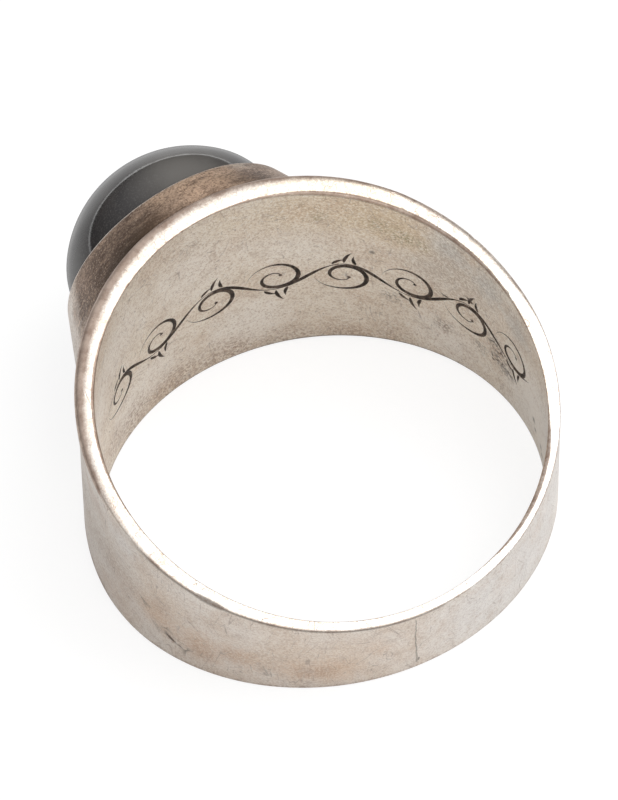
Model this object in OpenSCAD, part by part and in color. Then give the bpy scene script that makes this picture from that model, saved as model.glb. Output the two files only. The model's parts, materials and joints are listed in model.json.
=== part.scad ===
// Silver finger ring: a tapered band with a flared collar soldered on its head, and a domed
// dark stone set in the collar. Millimetres. The ring lies on its side, on one rim of the band.
// +Z is up, +X points from the finger hole towards the stone, and the origin is the point where
// the finger hole's axis meets the surface that the ring lies on.

/* [Band] */
// Diameter of the finger hole
bore_d = 19; // [17:0.5:21]
// Thickness of the band under the stone
head_t = 1; // [0.8:0.05:1.3]
// Thickness of the band opposite the stone
back_t = 0.38; // [0.3:0.02:0.7]
// Width of the band under the stone, from rim to rim
head_w = 12.4; // [12:0.1:14]
// Width of the band opposite the stone, from rim to rim
back_w = 4.2; // [3:0.1:6]

/* [Collar] */
// Height of the collar's lip above the outside of the band
collar_rise = 1.45; // [1:0.05:2]
// Angle by which the collar's wall leans out from the stone's axis towards the band
collar_flare = 23; // [15:1:26]
// Thickness of the collar's wall at its lip
lip_wall = 0.46; // [0.3:0.02:0.6]
// Distance that the foot of the collar keeps from each rim of the band
foot_margin = 0.35; // [0.2:0.05:0.5]
// Width of the ledge inside the collar that carries the stone
ledge_w = 0.65; // [0.4:0.05:1]

/* [Stone] */
// Diameter of the stone
stone_d = 10.1; // [9:0.1:10.4]
// Height of the dome above the collar's lip
dome_h = 4.3; // [3.9:0.1:4.8]
// Radius of the dome's shoulder, where its side turns towards the top
shoulder_r = 3.5; // [2.8:0.1:3.8]
// Height of the stone's flat back above the outside of the band
seat_rise = 0.15; // [0.1:0.05:0.4]
// Bevel round the edge of the stone's back
back_bevel = 0.25; // [0.1:0.05:0.4]
// Clearance between the stone and the silver
stone_gap = 0.04; // [0.02:0.01:0.06]

/* [Hidden] */
$fn = 128;

// The band's outside is a cylinder whose centre lies off the finger hole's axis, towards the
// stone, so that the metal thins evenly from the head to the back.
bore_r = bore_d / 2;
outer_r = bore_r + (head_t + back_t) / 2;
outer_shift = (head_t - back_t) / 2;
crest_x = bore_r + head_t;
back_x = -bore_r - back_t;

// Each rim is flat. It leans by rim_lean from a plane square to the finger hole, and its height
// above the ring's middle plane is rim_h on the hole's axis.
rim_slope = (head_w - back_w) / 2 / (crest_x - back_x);
rim_lean = atan(rim_slope);
rim_h = head_w / 2 - rim_slope * crest_x;

// The collar is a cone round the stone's axis. Its foot is drawn far enough down to end inside
// the metal of the band.
lip_x = crest_x + collar_rise;
seat_r = stone_d / 2 + stone_gap;
lip_r = seat_r + lip_wall;
foot_x = 0.7 * bore_r;
foot_r = lip_r + (lip_x - foot_x) * tan(collar_flare);
ledge_r = seat_r - ledge_w;
seat_x = crest_x + seat_rise;

// The stone's dome is a spherical top of crown_r that meets a rounded shoulder on one tangent.
stone_r = stone_d / 2;
shoulder_c = stone_r - shoulder_r;
crown_r = (pow(shoulder_c, 2) + pow(dome_h, 2) - pow(shoulder_r, 2)) / (2 * (dome_h - shoulder_r));
crown_c = dome_h - crown_r;
back_depth = lip_x - seat_x - stone_gap;

// Longer than anything that it cuts
reach = 4 * bore_r;

// Turns a ring whose finger hole runs along Z so that it lies on its lower rim
module lying() {
    translate([-rim_h * sin(rim_lean), 0, rim_h * cos(rim_lean)])
        rotate([0, -rim_lean, 0])
            children();
}

// Places a shape that was drawn along Z on the stone's axis, at the given distance from the hole
module on_stone_axis(x) {
    rotate([0, 90, 0])
        translate([0, 0, x])
            children();
}

// The space between the two rims, taken in by a margin
module between_rims(margin) {
    low_x = -reach / 2;
    high_x = reach / 2;
    low_h = rim_h + rim_slope * low_x - margin;
    high_h = rim_h + rim_slope * high_x - margin;
    tip_x = low_x - low_h / rim_slope;
    rotate([90, 0, 0])
        linear_extrude(height = reach, center = true)
            polygon([[tip_x, 0], [high_x, -high_h], [high_x, high_h]]);
}

module finger_bore() {
    cylinder(r = bore_r, h = reach, center = true);
}

module hoop() {
    difference() {
        intersection() {
            translate([outer_shift, 0, 0])
                cylinder(r = outer_r, h = reach, center = true);
            between_rims(0);
        }
        finger_bore();
    }
}

module collar() {
    difference() {
        intersection() {
            on_stone_axis(foot_x)
                cylinder(r1 = foot_r, r2 = lip_r, h = lip_x - foot_x);
            between_rims(foot_margin);
        }
        finger_bore();
        on_stone_axis(seat_x)
            cylinder(r = seat_r, h = reach);
        on_stone_axis(foot_x)
            cylinder(r = ledge_r, h = reach);
    }
}

// Hoop and collar are soldered together, so they are one solid
module band() {
    color("silver")
        lying()
            union() {
                hoop();
                collar();
            }
}

// Half of the stone's section: the axis is X = 0 and the collar's lip is at Y = 0
module stone_section() {
    crown_centre = [0, crown_c];
    towards_shoulder = [shoulder_c, -crown_c];
    difference() {
        intersection() {
            translate([0, -back_depth])
                square([stone_r, back_depth + dome_h]);
            union() {
                translate([0, -back_depth])
                    square([stone_r, back_depth]);
                translate([shoulder_c, 0])
                    circle(r = shoulder_r);
                intersection() {
                    translate(crown_centre)
                        circle(r = crown_r);
                    polygon([crown_centre, crown_centre + [0, reach],
                             crown_centre + towards_shoulder * reach]);
                }
            }
        }
        polygon([[stone_r - back_bevel, -back_depth], [stone_r, back_bevel - back_depth],
                 [2 * stone_r, -2 * back_depth]]);
    }
}

module stone() {
    color("dimgray")
        lying()
            on_stone_axis(lip_x)
                rotate_extrude()
                    stone_section();
}

band();
stone();
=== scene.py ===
import json
import math

import bmesh
import bpy
import numpy as np
from mathutils import Matrix, Vector
from mathutils.geometry import delaunay_2d_cdt


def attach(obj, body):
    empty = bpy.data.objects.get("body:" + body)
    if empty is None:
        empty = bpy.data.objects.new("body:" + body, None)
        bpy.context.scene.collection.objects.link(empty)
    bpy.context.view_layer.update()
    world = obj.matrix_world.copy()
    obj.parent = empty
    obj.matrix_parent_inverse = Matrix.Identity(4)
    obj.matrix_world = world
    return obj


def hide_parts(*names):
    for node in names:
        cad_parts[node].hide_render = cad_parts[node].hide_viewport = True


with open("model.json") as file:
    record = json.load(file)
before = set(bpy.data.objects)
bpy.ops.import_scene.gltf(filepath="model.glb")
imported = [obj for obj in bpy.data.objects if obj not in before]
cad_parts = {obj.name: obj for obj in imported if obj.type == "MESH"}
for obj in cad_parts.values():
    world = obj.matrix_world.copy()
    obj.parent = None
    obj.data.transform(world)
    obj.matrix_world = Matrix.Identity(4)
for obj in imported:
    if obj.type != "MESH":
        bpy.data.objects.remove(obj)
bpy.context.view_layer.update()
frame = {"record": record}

# The finger band with its collar. It is one strip of silver, bent to a hoop, soldered shut at the back and
# narrowing towards it. A flared silver collar for the stone is soldered on its head, so both are one piece
# of metal. The inside is engraved by hand, and both rims are filed flat with their outer edge worn round.
MM = 0.001
finger_hole = next(m for m in frame["record"]["mounts"] if m["name"] == "finger_hole")
hole_axis = Vector(finger_hole["axis"]).normalized()
hole_centre = Vector(finger_hole["pos_m"])
bore_r = finger_hole["dims"]["r_mm"] * MM
across = Vector((0, 1, 0))
towards_stone = across.cross(hole_axis)
lying = Matrix.Translation(hole_centre) @ Matrix((towards_stone, across, hole_axis)).transposed().to_4x4()

# Each rim is flat and leans. Its height above the middle of the band is rim_h on the finger hole's axis.
rim_h = hole_centre.length
rim_slope = -hole_axis.x / hole_axis.z
head_wall = 1.0 * MM
back_wall = 0.38 * MM
filed_off = 0.001 * MM
outer_r = bore_r + (head_wall + back_wall) / 2 - filed_off
outer_shift = (head_wall - back_wall) / 2


def rim_height(x):
    return rim_h + rim_slope * x


def outer_radius(turn):
    return outer_shift * np.cos(turn) + np.sqrt(outer_r ** 2 - (outer_shift * np.sin(turn)) ** 2)


def wander(turn, seed):
    """A slow unevenness between about -1 and 1 round the ring, as handwork leaves it."""
    chance = np.random.default_rng(seed)
    total = np.zeros_like(turn)
    for waves in (3, 5, 8, 13, 21, 34, 55, 89, 144):
        size = chance.uniform(0.3, 1) / math.sqrt(waves)
        total += size * np.sin(waves * turn + chance.uniform(0, 2 * math.pi))
    return total


class Metal:
    """The band's mesh while it is being put together. Places are in the ring's own frame, in metres:
    X towards the stone, Z along the finger hole."""

    def __init__(self):
        self.places = []
        self.dirt_and_shade = []
        self.worn = []
        self.tarnish = []
        self.faces = []
        self.engraved = []

    def add(self, places, dirt_and_shade=0.0, worn=0.0, tarnish=0.0):
        """Adds points and returns their numbers in an array of the same shape."""
        places = np.asarray(places, float)
        first = len(self.places)
        flat = places.reshape(-1, 3)
        self.places.extend(flat)
        for kept, values in ((self.dirt_and_shade, dirt_and_shade), (self.worn, worn), (self.tarnish, tarnish)):
            kept.extend(np.broadcast_to(values, places.shape[:-1]).reshape(-1))
        return np.arange(first, first + len(flat)).reshape(places.shape[:-1])

    def skin(self, grid):
        """Covers a grid of point numbers with four-sided faces."""
        for a, b in zip(grid, grid[1:]):
            for i in range(len(a) - 1):
                self.faces.append((a[i], a[i + 1], b[i + 1], b[i]))
                self.engraved.append(False)


metal = Metal()


def round_place(turn, radius, height):
    """A point at an angle round the finger hole, at a distance from its axis and at a height."""
    turn, radius, height = np.broadcast_arrays(turn, radius, height)
    return np.stack([radius * np.cos(turn), radius * np.sin(turn), height], -1)


# The columns of the mesh: fine steps where the collar stands on the band, wider ones on the rest
head_turn = math.radians(60)
head_steps = 160
back_steps = 240
head_columns = np.linspace(-head_turn, head_turn, head_steps + 1)
back_columns = np.linspace(head_turn, 2 * math.pi - head_turn, back_steps + 1)[1:-1]
turns = np.concatenate([head_columns, back_columns])
signed_turns = np.where(turns > math.pi, turns - 2 * math.pi, turns)

# The rims: a flat between a narrow bevel on the inside and a wider rounding on the outside, which is widest
# beside the stone and on the left, where the ring rubs most. All angles are in degrees round the ring,
# from the middle of the head, and positive on the left of the picture.
inner_rounding = 0.045 * MM
inner_bevel = 0.1 * MM
back_rounding = 0.07 * MM
head_rounding = 0.33 * MM
head_breadth = 0.6 * MM
inner_wander = 0.12
outer_wander = 0.06


def hump(middle, reach, power=2):
    """A smooth hump of height 1 round the ring."""
    return np.exp(-np.abs((np.degrees(signed_turns) - middle) / reach) ** power)


outer_share = np.where(signed_turns > 0, hump(0, 88, 5), np.maximum(hump(0, 55), 0.6 * hump(-68, 24, 4)))
left_bevel = 0.9 * hump(65, 24, 4)
back_bevel_share = hump(-141, 18, 4)
bevel_share = np.maximum(hump(-51, 37, 4), left_bevel)
# The nicks in the near rim: angle, reach and depth
outer_nicks = ((121, 3.5, 0.11 * MM), (-70, 0.7, 0.07 * MM), (34, 1.2, 0.05 * MM), (71, 0.9, 0.05 * MM))
inner_nicks = ((-86, 0.8, 0.06 * MM), (-52, 0.6, 0.04 * MM), (28, 0.8, 0.04 * MM), (-12, 0.5, 0.04 * MM))
quarter_turn = math.pi / 2
arc_in = np.linspace(0, quarter_turn, 6)
arc_out = np.linspace(0, quarter_turn, 10)
flat_share = np.array([0.04, 0.25, 0.5, 0.75, 0.96])


def rim_rows(side, seed):
    """The points of one rim, a row for each column: from the inner wall over the flat to the outer wall."""
    radius = outer_radius(turns)
    inner_reach = inner_rounding + inner_bevel * (bevel_share + 1.7 * back_bevel_share)
    inner = inner_reach * (1 + inner_wander * wander(turns, seed))
    uneven = 1 + outer_wander * wander(turns, seed + 1)
    outer = (back_rounding + head_rounding * outer_share) * uneven
    breadth = (back_rounding + head_breadth * outer_share) * uneven
    if side > 0:
        chipped = sum(depth * hump(turn, reach, 4) for turn, reach, depth in outer_nicks)
        outer += chipped
        breadth += chipped
        inner += sum(depth * hump(turn, reach, 4) for turn, reach, depth in inner_nicks)
    corner_in = np.stack([np.full_like(turns, bore_r), rim_height(bore_r * np.cos(turns))], -1)
    corner_out = np.stack([radius, rim_height(radius * np.cos(turns))], -1)
    along = corner_out - corner_in
    along /= np.linalg.norm(along, axis=1)[:, None]
    down = np.array([0, -1.0])
    rows = []
    for t in arc_in:
        rows.append(corner_in + inner[:, None] * (down * (1 - math.sin(t)) + along * (1 - math.cos(t))))
    start = rows[-1]
    end = corner_out - along * breadth[:, None]
    for share in flat_share:
        rows.append(start + (end - start) * share)
    for t in arc_out:
        fall = outer[:, None] * down * (1 - math.cos(t))
        rows.append(corner_out + fall - breadth[:, None] * along * (1 - math.sin(t)))
    rows = np.stack(rows, 1)
    return round_place(turns[:, None], rows[..., 0], side * rows[..., 1])


# Dirt lies in two thin lines, where the wall turns into the inner bevel and where the bevel meets the flat,
# and in one along the outer edge at the lower left. The roundings keep the tarnish that the flat has lost.
first_flat, first_outer = len(arc_in), len(arc_in) + len(flat_share)
edge_wear = np.zeros((len(turns), first_outer + len(arc_out)))
plain_back = np.exp(-((180 - np.abs(np.degrees(signed_turns))) / 13) ** 4)
kept_bevel = 0.75 - 0.3 * hump(-100, 24, 4) - 0.2 * back_bevel_share
edge_wear[:, 1:first_flat - 1] = (kept_bevel * (1 - 0.9 * plain_back))[:, None]
edge_wear[:, first_flat - 1] = 0.7 * left_bevel + 0.4 * back_bevel_share
left_wear = hump(36, 34, 4)[:, None]
started = np.clip((np.sin(arc_out) - 0.3 + 0.15 * left_wear) / (0.62 - 0.3 * left_wear), 0, 1) ** 0.8
clean_edge = (1 - 0.9 * hump(93, 9, 4)) * (1 - 0.7 * hump(-78, 24, 4))
clean_edge *= np.clip(0.35 + 2 * outer_share, 0, 1)
edge_wear[:, first_outer:] = started * clean_edge[:, None]
edge_dirt = np.zeros_like(edge_wear)
outline_rows, chipped_rows = 3, 7
edge_dirt[:, 0] = (0.15 + 0.3 * bevel_share) * (1 - plain_back)
edge_dirt[:, 1:first_flat - 2] = 0.25 * hump(-72, 24, 4)[:, None]
edge_dirt[:, first_flat - 2] = (0.25 + 0.4 * bevel_share) * (1 - plain_back)
edge_dirt[:, first_flat - 1] = (0.15 + 0.35 * bevel_share + 0.1 * back_bevel_share) * (1 - plain_back)
outline_dirt = 0.6 * hump(140, 42, 8)
edge_dirt[:, -outline_rows:] = outline_dirt[:, None]
edge_dirt[:, -chipped_rows:-outline_rows] = 0.55 * hump(121, 4.5, 4)[:, None]
near_seed, far_seed = 11, 23
near_rim = metal.add(rim_rows(1, near_seed), edge_dirt, edge_wear)
far_dirt = 0.45
edge_dirt[:, :first_flat - 1] = far_dirt
edge_dirt[:, first_outer:] = 0
far_rim = metal.add(rim_rows(-1, far_seed), edge_dirt, edge_wear)


def closed(grid):
    """The same grid with its first column again at the end, so that it goes all the way round."""
    return np.concatenate([grid, grid[:1]])


metal.skin(closed(near_rim))
metal.skin(closed(far_rim))

# The engraved line work is cut into the walls as real grooves. A stroke is a list of points along its
# middle, each with half of its width, in millimetres: the distance round the ring and the height. Lighter
# marks, whose black is below 1, are cut less deep, by mark_share.
groove_slope = 0.75
mark_share = 0.6
guard_gap = 0.02
guard_spread = 0.35
least_gap = 0.012
clear_of_stroke = 2
no_stroke = 9.0
bore_mm = bore_r / MM


def sideways(points):
    """The unit vectors square to a line of points."""
    along = np.gradient(points, axis=0)
    along /= np.linalg.norm(along, axis=1)[:, None] + 1e-12
    return np.stack([-along[:, 1], along[:, 0]], -1)


class Grooves:
    """Strokes on one wall, each with the share of black that fills it. At any point this gives the depth,
    the share of the groove's half width and the black of the nearest stroke."""

    def __init__(self, strokes):
        self.strokes = [np.array(s, float) for s, _ in strokes]
        self.start = np.concatenate([s[:-1] for s in self.strokes])
        self.end = np.concatenate([s[1:] for s in self.strokes])
        self.black = np.concatenate([np.full(len(s) - 1, black) for s, black in strokes])

    def measure(self, points):
        depth = np.zeros(len(points))
        share = np.full(len(points), no_stroke)
        black = np.zeros(len(points))
        step = self.end[:, :2] - self.start[:, :2]
        length2 = (step ** 2).sum(1) + 1e-12
        for i, p in enumerate(points):
            u = (((p - self.start[:, :2]) * step).sum(1) / length2).clip(0, 1)
            gap = np.linalg.norm(p - self.start[:, :2] - u[:, None] * step, axis=1)
            half = self.start[:, 2] + u * (self.end[:, 2] - self.start[:, 2])
            shares = gap / np.maximum(half, 1e-4)
            depth[i] = (half * (1 - shares).clip(0) * groove_slope).max()
            share[i] = shares.min()
            black[i] = self.black[shares.argmin()]
        return depth, share, black


def carve(outline, outline_numbers, grooves, spacing, to_place):
    """Fills the outline of a wall with triangles whose edges follow the strokes, and cuts the grooves."""
    outline = np.asarray(outline)
    points = [tuple(p) for p in outline]
    edges = [(i, (i + 1) % len(points)) for i in range(len(points))]
    for s in grooves.strokes:
        side = sideways(s[:, :2]) * s[:, 2:3]
        first = len(points)
        count = len(s)
        points += [tuple(p) for p in s[:, :2]]
        left = len(points)
        points += [tuple(p) for p in (s[:, :2] + side)[1:-1]]
        right = len(points)
        points += [tuple(p) for p in (s[:, :2] - side)[1:-1]]
        edges += [(first + i, first + i + 1) for i in range(count - 1)]
        for rail in (left, right):
            edges.append((first, rail))
            edges += [(rail + i, rail + i + 1) for i in range(count - 3)]
            edges.append((rail + count - 3, first + count - 1))
    # Points just outside each stroke keep the wall's smooth shading from bending far beside it
    for s in grooves.strokes:
        gap = guard_gap + guard_spread * s[:, 2:3]
        beside = sideways(s[:, :2]) * (s[:, 2:3] + gap)
        for guards in (s[::2, :2] + beside[::2], s[::2, :2] - beside[::2]):
            for p, share in zip(guards, grooves.measure(guards)[1]):
                apart = np.min(np.abs(np.array(points) - p).max(1)) > least_gap
                if share > 1.05 and apart and inside(p, outline):
                    points.append(tuple(p))
    low = outline.min(0)
    high = outline.max(0)
    filling = []
    for s in np.arange(low[0] + spacing, high[0], spacing):
        for z in np.arange(low[1] + spacing, high[1], spacing):
            filling.append((s, z))
    filling = np.array(filling)
    share_here = grooves.measure(filling)[1]
    known = np.array(points)
    for p in filling[share_here > clear_of_stroke]:
        apart = np.min(np.abs(known - p).max(1)) > 0.45 * spacing
        if apart and inside(p, outline):
            points.append(tuple(p))
    vectors = [Vector(p) for p in points]
    keep_inside, merge_below = 1, 1e-5
    flat, _, triangles, sources = delaunay_2d_cdt(vectors, edges, [], keep_inside, merge_below)[:4]
    flat = np.array([tuple(v) for v in flat])
    depth, share, black = grooves.measure(flat)
    dirt = np.where((share < 1.02) & (black < 1), black, 0)
    depth = np.where(black < 1, mark_share * depth, depth)
    numbers = metal.add(to_place(flat[:, 0], flat[:, 1], depth), dirt)
    for i, source in enumerate(sources):
        on_outline = [k for k in source if k < len(outline)]
        if on_outline:
            numbers[i] = outline_numbers[on_outline[0]]
    middles = np.array([flat[list(t)].mean(0) for t in triangles])
    _, share, black = grooves.measure(middles)
    for t, s, b in zip(triangles, share, black):
        metal.faces.append(tuple(numbers[k] for k in t))
        metal.engraved.append(bool(s < 0.97 and b == 1))


def inside(point, outline):
    """Whether a point lies within a closed outline."""
    s, z = point
    a = outline
    b = np.roll(outline, -1, axis=0)
    crosses = (a[:, 1] > z) != (b[:, 1] > z)
    climb = np.where(b[:, 1] == a[:, 1], 1, b[:, 1] - a[:, 1])
    crossing = a[:, 0] + (z - a[:, 1]) * (b[:, 0] - a[:, 0]) / climb
    return bool((crosses & (s < crossing)).sum() % 2)


# The engraving: a running scroll with curls and small leaves, cut round the inside of the head
scroll_start = 7.2
scroll_wave = 5.9
scroll_waves = 4
scroll_swing = 0.78
scroll_low = -1.15
scroll_climb = 1.1
curl_turns = 1.45
curl_squash = 0.9
bulb_start = 0.93


def scroll_base(s):
    """The height about which the stem swings. It climbs along the scroll."""
    return scroll_low + scroll_climb * (scroll_start - s) / (scroll_wave * scroll_waves)


def scroll_stem(s):
    return scroll_base(s) + scroll_swing * math.sin(2 * math.pi * (scroll_start - s) / scroll_wave)


def stem_stroke():
    """The wavy stem, which swells and thins, and tapers at both ends."""
    points = []
    count = 60 * scroll_waves
    for i in range(count + 1):
        s = scroll_start - scroll_wave * scroll_waves * i / count
        half = 0.06 + 0.038 * math.cos(4 * math.pi * (scroll_start - s) / scroll_wave + 0.6)
        taper = min(1, min(i, count - i) / 14)
        points.append((s, scroll_stem(s), half * taper))
    return points


def curl_stroke(number):
    """The curl inside one half wave of the stem. It ends in a small bulb."""
    side = 1 if number % 2 == 0 else -1
    middle = scroll_start - scroll_wave / 2 * number - scroll_wave / 4
    centre = scroll_base(middle) - side * 0.1
    points = []
    count = 44
    for i in range(count + 1):
        u = i / count
        radius = 0.2 + 1.12 * (1 - u) ** 0.85
        angle = 2 * math.pi * curl_turns * u
        half = (0.03 + 0.085 * math.sin(math.pi * min(1, u * 1.15)) ** 1.5) * min(1, i / 8)
        if u > bulb_start:
            half = 0.085 * math.sqrt(max(0, 1 - ((u - 0.965) / 0.035) ** 2))
        height = centre - side * radius * math.sin(angle) * curl_squash
        points.append((middle + radius * math.cos(angle), height, half))
    return points


def leaf_stroke(root, heading, length, bend, half):
    """A leaf that bends as it grows from its root, and is widest near it."""
    points = []
    s, z = root
    count = 12
    for i in range(count + 1):
        u = i / count
        points.append((s, z, half * math.sin(math.pi * u ** 0.75) * (1 - 0.3 * u)))
        s += length / count * math.cos(heading)
        z += length / count * math.sin(heading)
        heading += bend / count
    return points


scroll = [(stem_stroke(), 1)]
leaf_root = 0.09
leaf_bend = 0.9
leaf_half = 0.095
for number in range(2 * scroll_waves):
    scroll.append((curl_stroke(number), 1))
    side = 1 if number % 2 == 0 else -1
    for share, lean, length in ((0.16, 0.55, 0.72), (0.25, 0.0, 0.95), (0.34, -0.55, 0.72)):
        s = scroll_start - scroll_wave * (number / 2 + share)
        heading = side * (quarter_turn + lean)
        root = (s, scroll_stem(s) + side * leaf_root)
        scroll.append((leaf_stroke(root, heading, length, side * leaf_bend, leaf_half), 1))

# The inner wall: rows down to and up from a middle stretch, which is the engraved one round the head
near_edge = np.array([metal.places[k][2] for k in near_rim[:, 0]])
far_edge = np.array([metal.places[k][2] for k in far_rim[:, 0]])
middle_top = np.minimum(0.62 * near_edge, 2.3 * MM)
middle_low = np.maximum(0.88 * far_edge, -3.1 * MM)
thin_row = 0.02
share_down = np.array([thin_row, *np.linspace(0, 1, 9)[1:]])[:, None]
share_mid = np.linspace(0, 1, 15)[1:-1, None]
share_up = share_down[-2::-1]


def inner_rows(start, end, shares):
    """Rows of points on the inner wall, a row for each share of the way from one height to another."""
    return metal.add(round_place(turns, bore_r, start + (end - start) * shares).swapaxes(0, 1))


upper = inner_rows(near_edge, middle_top, share_down)
lower = inner_rows(far_edge, middle_low, share_up)
bottom = metal.add(round_place(turns, bore_r, middle_low))
middle = inner_rows(middle_top, middle_low, share_mid)
metal.skin(closed(np.column_stack([near_rim[:, 0], upper])))
metal.skin(closed(np.column_stack([bottom, lower, far_rim[:, 0]])))
band_of_middle = closed(np.column_stack([upper[:, -1], middle, bottom]))


def columns_between(first_turn, last_turn):
    """The numbers of the columns from one angle to another, in order round the ring."""
    order = np.argsort(signed_turns)
    chosen = [k for k in order if first_turn <= signed_turns[k] <= last_turn]
    return np.array(chosen)


engraved_from, engraved_to = math.radians(-108), math.radians(46)
engraved_columns = columns_between(engraved_from, engraved_to)
engraved = set(engraved_columns[:-1])
for k in range(len(turns)):
    if k not in engraved:
        metal.skin(band_of_middle[[k, k + 1]])


def outline_of(columns, top, rows, low, radius=bore_mm):
    """The outline of a stretch of wall, as distance round the ring and height, and its points' numbers."""
    first, last = columns[0], columns[-1]
    numbers = [top[k] for k in columns] + list(rows[last])
    numbers += [low[k] for k in columns[::-1]] + list(rows[first][::-1])
    places = np.array([metal.places[k] for k in numbers])
    turn = np.arctan2(places[:, 1], places[:, 0])
    return np.stack([turn * radius, places[:, 2] / MM], -1), numbers


def on_inner_wall(s, z, depth):
    return round_place(s / bore_mm, bore_r + depth * MM, z * MM)


def pit(turn, height, length, half, heading=0.0, radius=bore_mm):
    """A short, blunt dent, given by the angle round the ring and the height of its middle."""
    s = math.radians(turn) * radius
    points = []
    for u in np.linspace(-0.5, 0.5, 15):
        wide = half * math.sqrt(max(0, 1 - (2 * u) ** 2))
        points.append((s + u * length * math.cos(heading), height + u * length * math.sin(heading), wide))
    return points


# Two pits and a cluster of small ones to the right of the head, where the metal corroded
pits = [(pit(-72.6, 0.96, 0.3, 0.085, 0.6), 0.95), (pit(-64.9, 0.1, 0.16, 0.05), 0.9)]
cluster_count = 16
chance = np.random.default_rng(5)
for _ in range(cluster_count):
    turn, height = chance.normal(-84, 3), chance.normal(-1.1, 0.55)
    length, half, heading = chance.uniform(0.08, 0.2), chance.uniform(0.02, 0.045), chance.uniform(0, 3)
    pits.append((pit(turn, height, length, half, heading), 0.85))
inner_spacing = 0.42
inner_outline, inner_border = outline_of(engraved_columns, upper[:, -1], middle, bottom)
carve(inner_outline, inner_border, Grooves(scroll + pits), inner_spacing, on_inner_wall)

# The outer wall of the hoop, outside the stretch that carries the collar
outer_top = near_rim[:, -1]
outer_low = far_rim[:, -1]
top_place = np.array([metal.places[k] for k in outer_top])
low_place = np.array([metal.places[k] for k in outer_low])
outer_down = np.array([thin_row / 2, 1.5 * thin_row, *np.linspace(0, 1, 27)[1:-1]])[:, None]
outer_height = top_place[:, 2] + (low_place[:, 2] - top_place[:, 2]) * outer_down
hoop_columns = list(range(head_steps, len(turns))) + [0]
outer_dirt = np.zeros((len(turns), len(outer_down)))
outer_dirt[:, 0] = outline_dirt
outer_places = round_place(turns, outer_radius(turns), outer_height).swapaxes(0, 1)
outer_rows = metal.add(outer_places[hoop_columns], outer_dirt[hoop_columns])
hoop_grid = np.column_stack([outer_top[hoop_columns], outer_rows, outer_low[hoop_columns]])

# The marks on the outside are the solder seam at the back, and dents and fine scratches at the left. The
# stretch of wall that carries them is carved as the inside is.
outer_mm = outer_r / MM
marked_from, marked_to = math.radians(94), math.radians(177)
first_marked = int(np.argmax(signed_turns[hoop_columns] >= marked_from))
last_marked = int(np.argmax(signed_turns[hoop_columns] >= marked_to))
top_marked, low_marked = 3, outer_rows.shape[1] - 1
for k in range(len(hoop_columns) - 1):
    if first_marked <= k < last_marked:
        metal.skin(hoop_grid[k:k + 2, :top_marked + 1])
        metal.skin(hoop_grid[k:k + 2, low_marked:])
    else:
        metal.skin(hoop_grid[k:k + 2])


def scratch(turn, height, length, half, heading, bend):
    """A fine scratch in the outer wall, given by the angle and the height where it starts."""
    points = []
    s, z = math.radians(turn) * outer_mm, height
    count = 8
    for i in range(count + 1):
        points.append((s, z, half * math.sin(math.pi * (i + 0.02) / (count + 0.04)) ** 0.5))
        s += length / count * math.cos(heading)
        z += length / count * math.sin(heading)
        heading += bend / count
    return points


# The solder seam runs from the top of the back to its foot, through these angles and heights
seam_turns = (172.2, 172.3, 172.1, 172.15, 172.35, 172.45, 172.5)
seam_heights = (1.75, 1.2, 0.6, 0.0, -0.6, -1.3, -1.72)
seam_points = 60
seam_z = np.linspace(seam_heights[0], seam_heights[-1], seam_points)
seam_turn = np.interp(-seam_z, -np.array(seam_heights), seam_turns)
seam_turn += 0.06 * np.sin(9 * seam_z) + 0.04 * np.sin(23 * seam_z)
seam_half = 0.017 * (1.2 - 0.3 * seam_z)
seam_line = np.stack([np.radians(seam_turn) * outer_mm, seam_z, seam_half], -1)

# The dents: angle, height, length, half width, heading and black. A scratch has its bend before the black.
dents = [
    (172.9, -1.5, 0.24, 0.045, 1.4, 0.6), (109.6, -1.85, 0.42, 0.085, -0.5, 0.85),
    (112.4, -2.05, 0.2, 0.04, -0.3, 0.6), (114.3, -2.1, 0.14, 0.035, 0.8, 0.55),
    (107.8, -1.35, 0.12, 0.03, 0.4, 0.5), (100.5, -0.35, 0.12, 0.035, -0.6, 0.6),
]
scratches = [
    (103.6, -1.45, 0.75, 0.02, -0.75, -0.5, 0.3), (104.6, -1.4, 0.6, 0.018, -0.8, -0.5, 0.3),
    (105.9, -1.5, 0.42, 0.015, -0.7, -0.6, 0.3), (111.5, -1.6, 0.5, 0.016, -0.6, 0.9, 0.3),
    (134.5, -1.05, 0.75, 0.016, -1.3, 0.2, 0.3), (131.3, -1.15, 0.45, 0.013, -1.45, 0.0, 0.3),
    (136.2, -1.3, 0.5, 0.013, -1.4, -0.1, 0.3), (164.5, -0.6, 0.35, 0.02, -1.2, 1.4, 0.3),
    (161.0, -0.9, 0.3, 0.018, -0.9, 1.0, 0.3),
]
marks = [(seam_line, 0.5)]
marks += [(pit(*shape, outer_mm), black) for *shape, black in dents]
marks += [(scratch(*shape), black) for *shape, black in scratches]
outer_spacing = 0.45
outer_outline, outer_border = outline_of(
    range(first_marked, last_marked + 1), hoop_grid[:, top_marked], hoop_grid[:, top_marked + 1:low_marked],
    hoop_grid[:, low_marked], outer_mm,
)


def on_outer_wall(s, z, depth):
    turn = s / outer_mm
    return round_place(turn, outer_radius(turn) - depth * MM, z * MM)


carve(outer_outline, outer_border, Grooves(marks), outer_spacing, on_outer_wall)

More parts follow.
